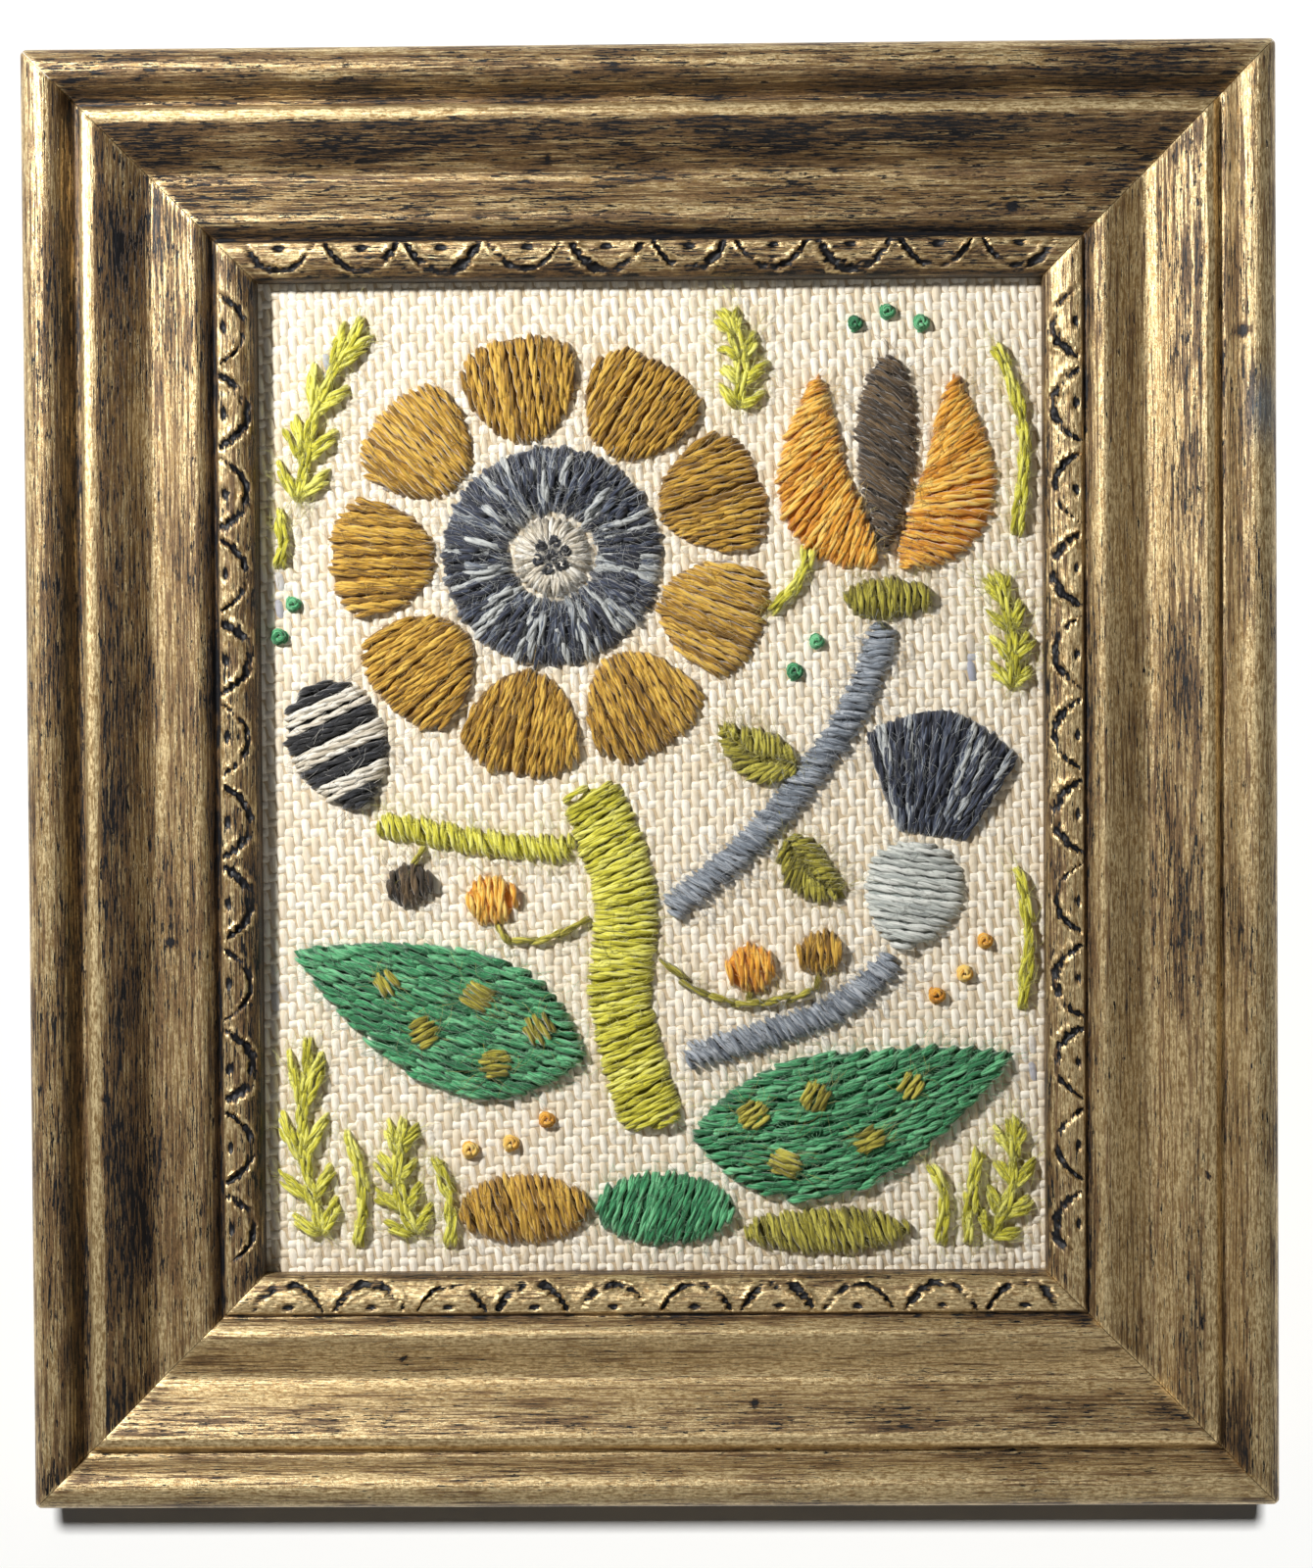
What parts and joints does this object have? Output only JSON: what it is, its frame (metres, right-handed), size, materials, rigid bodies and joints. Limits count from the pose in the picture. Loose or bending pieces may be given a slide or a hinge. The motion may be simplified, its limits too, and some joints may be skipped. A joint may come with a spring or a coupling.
{
  "type": "crewel embroidery panel in a wooden picture frame",
  "caption": "Crewel wool embroidery of flowers and leaves on cream twill, mounted in a moulded antique-gold wooden picture frame; it lies face up on its back.",
  "frame": {"origin": "centre of the frame's flat back, on the surface that the panel lies on", "axes": "+Z out of the picture face, +Y towards the picture's top, +X to its right as seen from the front"},
  "size_m": [0.1492, 0.1746, 0.018],
  "materials": {
    "gilded_wood": "antique gold leaf paint brushed over black and brown, rubbed and speckled, on a moulded wooden rail",
    "ground_cloth": "cream cotton twill, coarse warp faced two and one weave",
    "backing_board": "plain brown fibreboard",
    "mustard": "two ply crewel wool, matt",
    "slate": "two ply crewel wool, matt, mixed slate, navy and grey strands",
    "grey": "two ply crewel wool, matt",
    "pale_grey": "two ply crewel wool, matt",
    "chartreuse": "two ply crewel wool, matt",
    "olive": "two ply crewel wool, matt",
    "emerald": "two ply crewel wool, matt",
    "orange": "two ply crewel wool, matt",
    "brown": "two ply crewel wool, matt",
    "black": "two ply crewel wool, matt",
    "cream": "two ply crewel wool, matt"
  },
  "bodies": {
    "root": {"rail_bottom": "gilded_wood", "rail_top": "gilded_wood", "rail_right": "gilded_wood", "rail_left": "gilded_wood", "backing_board": "backing_board", "ground_cloth": "ground_cloth", "rosette_eye": "cream", "rosette_ring": "slate", "rosette_petal_1": "mustard", "rosette_petal_2": "mustard", "rosette_petal_3": "mustard", "rosette_petal_4": "mustard", "rosette_petal_5": "mustard", "rosette_petal_6": "mustard", "rosette_petal_7": "mustard", "rosette_petal_8": "mustard", "rosette_petal_9": "mustard", "main_stem": "chartreuse", "tulip_left": "orange", "tulip_right": "orange", "tulip_heart": "brown", "tulip_calyx": "olive", "tulip_stem": "grey", "stem_leaf_low": "olive", "stem_leaf_high": "olive", "thistle_calyx": "pale_grey", "thistle_fan": "slate", "thistle_stem": "grey", "leaf_right": "emerald", "leaf_left": "emerald", "bud_stem": "chartreuse", "striped_bud": "black", "fern_top_left": "chartreuse", "fern_top": "chartreuse", "fern_right": "chartreuse", "fern_low_left": "chartreuse", "fern_inner_left": "chartreuse", "fern_low_right": "chartreuse", "mound_left": "mustard", "mound_middle": "emerald", "mound_right": "olive", "berry_high": "orange", "berry_low": "mustard", "berry_left": "orange", "berry_outer": "brown"}
  },
  "joints": []
}
